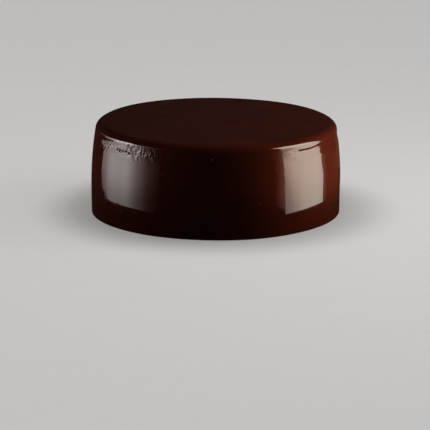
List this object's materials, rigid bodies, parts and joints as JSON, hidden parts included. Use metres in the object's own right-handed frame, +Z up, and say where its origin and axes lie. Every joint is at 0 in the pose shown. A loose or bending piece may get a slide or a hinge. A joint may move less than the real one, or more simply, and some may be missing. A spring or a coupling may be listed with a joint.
{
  "type": "chocolate cake",
  "caption": "Whole round cake covered in a smooth, glossy dark chocolate glaze, flat on top with a rounded rim and a softly bellied side.",
  "frame": {"origin": "centre of the flat base, on the surface the cake stands on", "axes": "+Z up out of the top of the cake, -Y towards the side shown in the picture, +X to the right in that view"},
  "size_m": [0.2, 0.2, 0.0734],
  "materials": {
    "chocolate_glaze": "glossy set chocolate glaze, dark red-brown, smooth with faint pour streaks and small pits"
  },
  "bodies": {
    "root": {"glazed_cake": "chocolate_glaze"}
  },
  "joints": []
}
